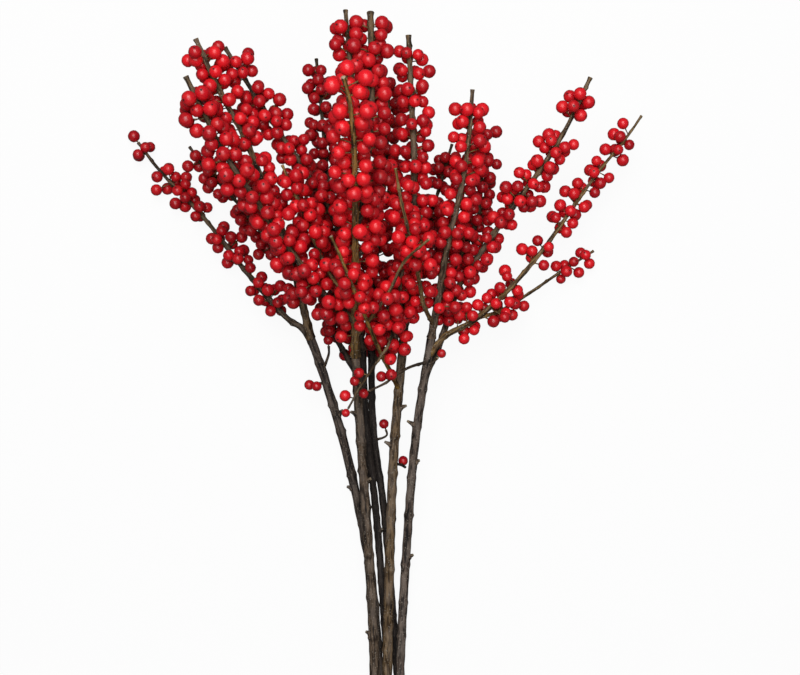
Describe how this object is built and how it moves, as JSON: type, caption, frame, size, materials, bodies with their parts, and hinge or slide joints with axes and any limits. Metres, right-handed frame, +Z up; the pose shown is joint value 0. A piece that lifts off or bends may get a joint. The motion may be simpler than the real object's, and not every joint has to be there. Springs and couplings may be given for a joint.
{
  "type": "winterberry holly bunch",
  "caption": "Cut bunch of leafless winterberry holly lying on its side: slim bare woody stems below, a spreading crown of branches crowded with round red berries above.",
  "frame": {"origin": "on the surface that the bunch lies on, below the middle of its bounding box", "axes": "+Y along the stems from the cut ends to the crown, +X to the right when looked down on with the crown away from the viewer, +Z up from the surface"},
  "size_m": [0.393, 0.5615, 0.2243],
  "materials": {
    "bark": "matt grey-brown bark",
    "berry": "satin red skin"
  },
  "bodies": {
    "root": {"stem_1": "bark", "stem_2": "bark", "stem_3": "bark", "stem_4": "bark", "stem_5": "bark", "stem_6": "bark", "spray_1_leader": "berry", "spray_1_outer_left": "berry", "spray_1_lower_left": "berry", "spray_2_leader": "berry", "spray_2_left": "berry", "spray_2_left_inner": "berry", "spray_2_top": "berry", "spray_2_top_left": "berry", "spray_2_right_inner": "berry", "twig_2_budded": "berry", "spray_3_leader": "berry", "spray_3_back": "berry", "spray_3_low": "berry", "spray_4_leader": "berry", "spray_4_low": "berry", "sprig_4_side": "berry", "spray_5_leader": "berry", "spray_5_back": "berry", "spray_5_inner": "berry", "spray_5_short": "berry", "twig_5_hanging": "berry", "twig_5_golden": "berry", "sprig_5_side": "berry", "spray_6_leader": "berry", "spray_6_right": "berry", "spray_6_outer_right": "berry", "spray_6_low_right": "berry", "spray_6_inner": "berry", "spray_6_back": "berry", "twig_6_cross": "berry", "sprig_6_side": "berry", "sprig_1_side": "berry", "sprig_1_crotch": "berry"}
  },
  "joints": []
}
